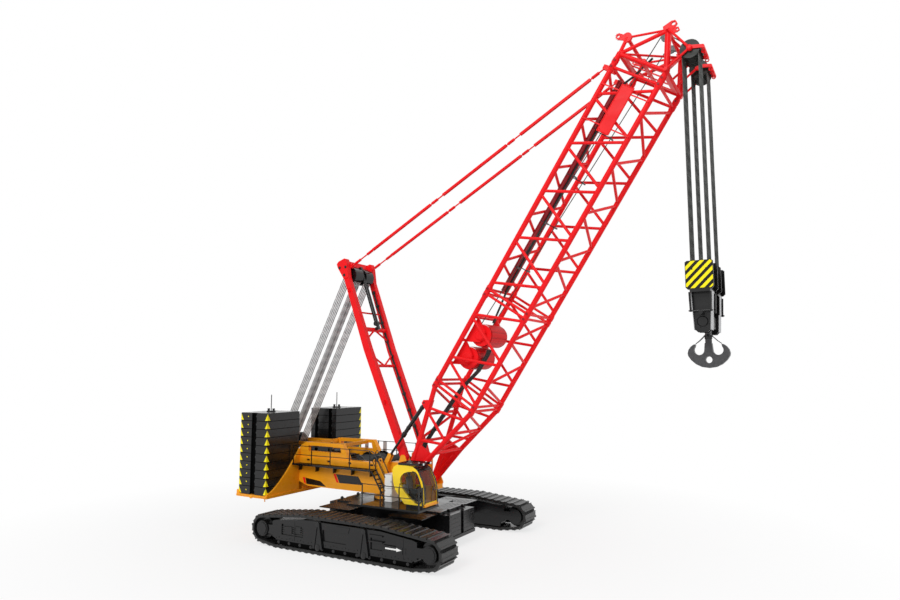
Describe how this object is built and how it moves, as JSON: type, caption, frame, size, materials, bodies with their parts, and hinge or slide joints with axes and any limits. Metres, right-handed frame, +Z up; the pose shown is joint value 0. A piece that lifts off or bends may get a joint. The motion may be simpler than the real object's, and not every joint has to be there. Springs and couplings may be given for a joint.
{
  "type": "crawler crane",
  "caption": "Heavy crawler crane: two tracks, a slewing upperworks with cab and counterweight stacks, a luffing lattice boom held by a mast and pendants, and a ramshorn hook block.",
  "frame": {"origin": "on the ground under the slewing axis", "axes": "+X ahead in line with the tracks and the boom at rest, +Y to the left, +Z up"},
  "size_m": [26.48, 10.79, 25.3948],
  "materials": {
    "charcoal": "charcoal machine paint",
    "track_black": "black track paint",
    "amber": "amber gloss machine paint",
    "red": "red gloss machine paint",
    "steel": "bare steel",
    "rope": "galvanised wire rope",
    "rope_dark": "greased wire rope",
    "black": "black machine paint",
    "glass": "tinted glass",
    "seat": "grey seat cloth"
  },
  "bodies": {
    "undercarriage": {"car_body": "charcoal", "slew_ring": "black", "weight_front": "charcoal", "weight_rear": "charcoal", "track_frame_right": "charcoal", "track_frame_left": "charcoal", "track_right": "track_black", "track_left": "track_black", "track_wheels_right": "charcoal", "track_wheels_left": "charcoal"},
    "upperworks": {"turntable": "amber", "winch_drums": "black", "rear_frame": "amber", "luff_sheaves": "black", "engine_block": "charcoal", "counterweight_tray": "amber", "counterweight_right": "charcoal", "counterweight_left": "charcoal", "cab_shell": "amber", "cab_glass": "glass", "cab_seat": "seat", "cab_roof_guard": "black", "cab_platform": "charcoal", "walkway_right": "charcoal", "walkway_left": "charcoal", "handrails": "black"},
    "cab_door": {"cab_door": "amber", "cab_door_glass": "glass"},
    "boom": {"boom_butt": "red", "boom_butt_lacing": "red", "boom_insert": "red", "boom_insert_lacing": "red", "boom_winches": "red", "boom_top": "red", "boom_top_lacing": "red", "boom_head": "red", "boom_head_sheaves": "black", "boom_walkway": "red", "sign_plate": "red"},
    "mast": {"mast_frame": "red", "mast_sheaves": "black", "mast_cylinder": "black"},
    "pendants": {"pendants": "red"},
    "backstop_barrels": {"backstop_barrels": "black"},
    "backstop_rods": {"backstop_rods": "steel"},
    "luff_ropes": {"luff_ropes": "rope"},
    "luff_ropes_upper": {"luff_ropes_upper": "rope"},
    "hoist_falls": {"hoist_ropes": "rope_dark"},
    "hook_block": {"hook_block": "charcoal"},
    "hook": {"hook": "charcoal"}
  },
  "joints": [
    {"name": "slew", "type": "hinge", "parent": "undercarriage", "child": "upperworks", "pos_m": [0, 0, 2.2], "axis": [0, 0, 1], "continuous": true},
    {"name": "cab_door_slide", "type": "slide", "parent": "upperworks", "child": "cab_door", "axis": [-1, 0, 0], "range_m": [0, 0.95]},
    {"name": "boom_luff", "type": "hinge", "parent": "upperworks", "child": "boom", "pos_m": [1.4, 0, 3.15], "axis": [0, -1, 0], "range_deg": [-27, 27]},
    {"name": "mast_swing", "type": "hinge", "parent": "upperworks", "child": "mast", "pos_m": [1, 0, 4.52], "axis": [0, -1, 0], "range_deg": [-30.17, 30.17]},
    {"name": "pendant_swing", "type": "hinge", "parent": "boom", "child": "pendants", "pos_m": [12.71654, 0, 24.11958], "axis": [0, -1, 0], "range_deg": [-0.1577, 0.1577]},
    {"name": "backstop_swing", "type": "hinge", "parent": "boom", "child": "backstop_barrels", "pos_m": [2.61476, 0, 7.53599], "axis": [0, -1, 0], "range_deg": [-4.48, 4.48]},
    {"name": "backstop_slide", "type": "slide", "parent": "backstop_barrels", "child": "backstop_rods", "axis": [-0.616, 0, -0.7877], "range_m": [-0.7777, 0.7777]},
    {"name": "luff_rope_swing", "type": "hinge", "parent": "upperworks", "child": "luff_ropes", "pos_m": [-8.3, 0, 4.85], "axis": [0, -1, 0], "range_deg": [-19.97, 19.97], "deforming": ["luff_ropes"]},
    {"name": "luff_rope_slide", "type": "slide", "parent": "luff_ropes", "child": "luff_ropes_upper", "axis": [0.4482, 0, 0.8939], "range_m": [-4.379, 4.379], "deforming": ["luff_ropes_upper"]},
    {"name": "hoist_hang", "type": "hinge", "parent": "boom", "child": "hoist_falls", "pos_m": [16.79, 0, 23.73], "axis": [0, -1, 0], "range_deg": [-27.02, 27.02]},
    {"name": "hoist", "type": "slide", "parent": "hoist_falls", "child": "hook_block", "axis": [0, 0, -1], "range_m": [-6.5, 9], "deforming": ["hoist_ropes"]},
    {"name": "hook_swivel", "type": "hinge", "parent": "hook_block", "child": "hook", "pos_m": [16.79, 0, 11], "axis": [0, 0, 1], "continuous": true}
  ],
  "couplings": [
    {"joint": "mast_swing", "follows": "boom_luff", "ratio": 1.1165},
    {"joint": "pendant_swing", "follows": "boom_luff", "ratio": 0.0051},
    {"joint": "backstop_swing", "follows": "boom_luff", "ratio": 0.1653},
    {"joint": "backstop_slide", "follows": "boom_luff", "m_per_rad": -1.6483},
    {"joint": "luff_rope_swing", "follows": "boom_luff", "ratio": 0.7388},
    {"joint": "luff_rope_slide", "follows": "boom_luff", "m_per_rad": -9.2905},
    {"joint": "hoist_hang", "follows": "boom_luff", "ratio": -1}
  ]
}
